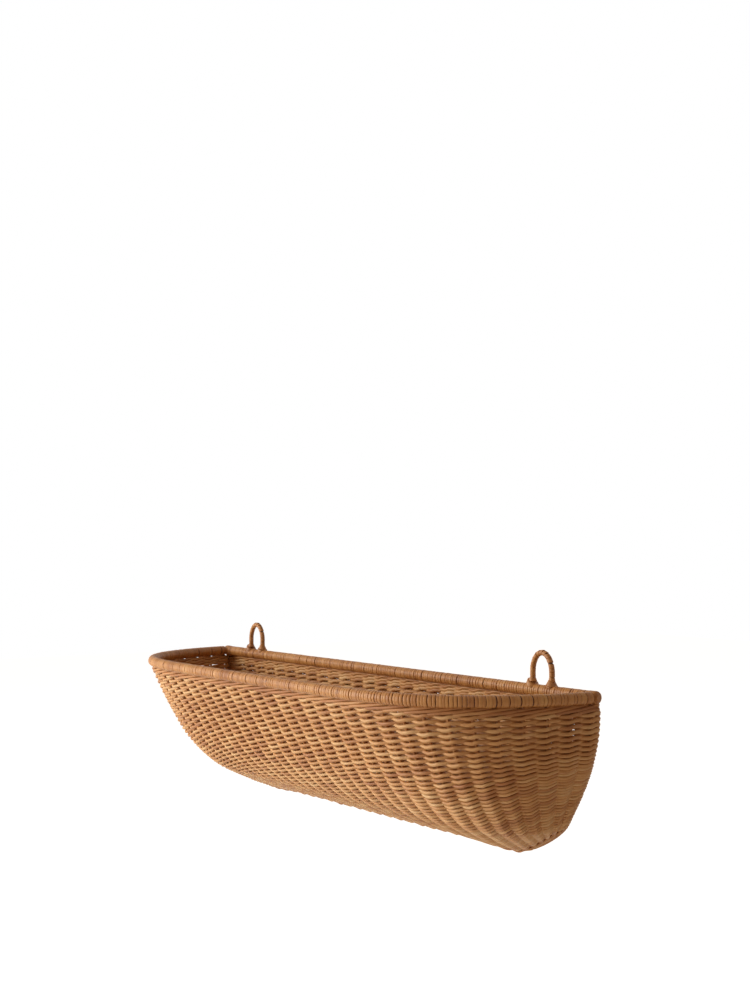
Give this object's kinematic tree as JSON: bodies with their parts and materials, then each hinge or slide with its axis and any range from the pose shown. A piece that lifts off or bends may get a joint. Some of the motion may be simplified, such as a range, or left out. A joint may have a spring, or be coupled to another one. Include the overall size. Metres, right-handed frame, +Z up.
{
  "type": "woven wall pocket",
  "caption": "Half-boat trough of woven rattan with a flat back and a cane-bound rim, hung on a wall by bound loops on its back rail.",
  "frame": {"origin": "on the wall plane, half way between the two hanging loops, at the height where the hooks hold them", "axes": "+X along the rail, towards the right end as seen from the room; +Y into the wall; +Z up"},
  "size_m": [0.713, 0.1889, 0.2053],
  "materials": {
    "rattan_core": "matt natural rattan core, uncoated",
    "cane_peel": "satin cane peel, natural glaze"
  },
  "bodies": {
    "root": {"back_binding": "cane_peel", "back_rail": "rattan_core", "bow_binding": "cane_peel", "corner_lashing_left": "cane_peel", "corner_lashing_right": "cane_peel", "end_stake_left_1": "rattan_core", "end_stake_left_2": "rattan_core", "end_stake_left_3": "rattan_core", "end_stake_left_4": "rattan_core", "end_stake_left_5": "rattan_core", "end_stake_right_1": "rattan_core", "end_stake_right_2": "rattan_core", "end_stake_right_3": "rattan_core", "end_stake_right_4": "rattan_core", "end_stake_right_5": "rattan_core", "front_bow": "rattan_core", "inner_weave": "rattan_core", "loop_binding_left": "cane_peel", "loop_binding_right": "cane_peel", "loop_core_left": "rattan_core", "loop_core_right": "rattan_core", "loop_lashing_left_inner": "cane_peel", "loop_lashing_left_outer": "cane_peel", "loop_lashing_right_inner": "cane_peel", "loop_lashing_right_outer": "cane_peel", "outer_weave": "rattan_core", "stake_left_01": "rattan_core", "stake_left_02": "rattan_core", "stake_left_03": "rattan_core", "stake_left_04": "rattan_core", "stake_left_05": "rattan_core", "stake_left_06": "rattan_core", "stake_left_07": "rattan_core", "stake_left_08": "rattan_core", "stake_left_09": "rattan_core", "stake_left_10": "rattan_core", "stake_left_11": "rattan_core", "stake_left_12": "rattan_core", "stake_left_13": "rattan_core", "stake_middle": "rattan_core", "stake_right_01": "rattan_core", "stake_right_02": "rattan_core", "stake_right_03": "rattan_core", "stake_right_04": "rattan_core", "stake_right_05": "rattan_core", "stake_right_06": "rattan_core", "stake_right_07": "rattan_core", "stake_right_08": "rattan_core", "stake_right_09": "rattan_core", "stake_right_10": "rattan_core", "stake_right_11": "rattan_core", "stake_right_12": "rattan_core", "stake_right_13": "rattan_core"}
  },
  "joints": []
}
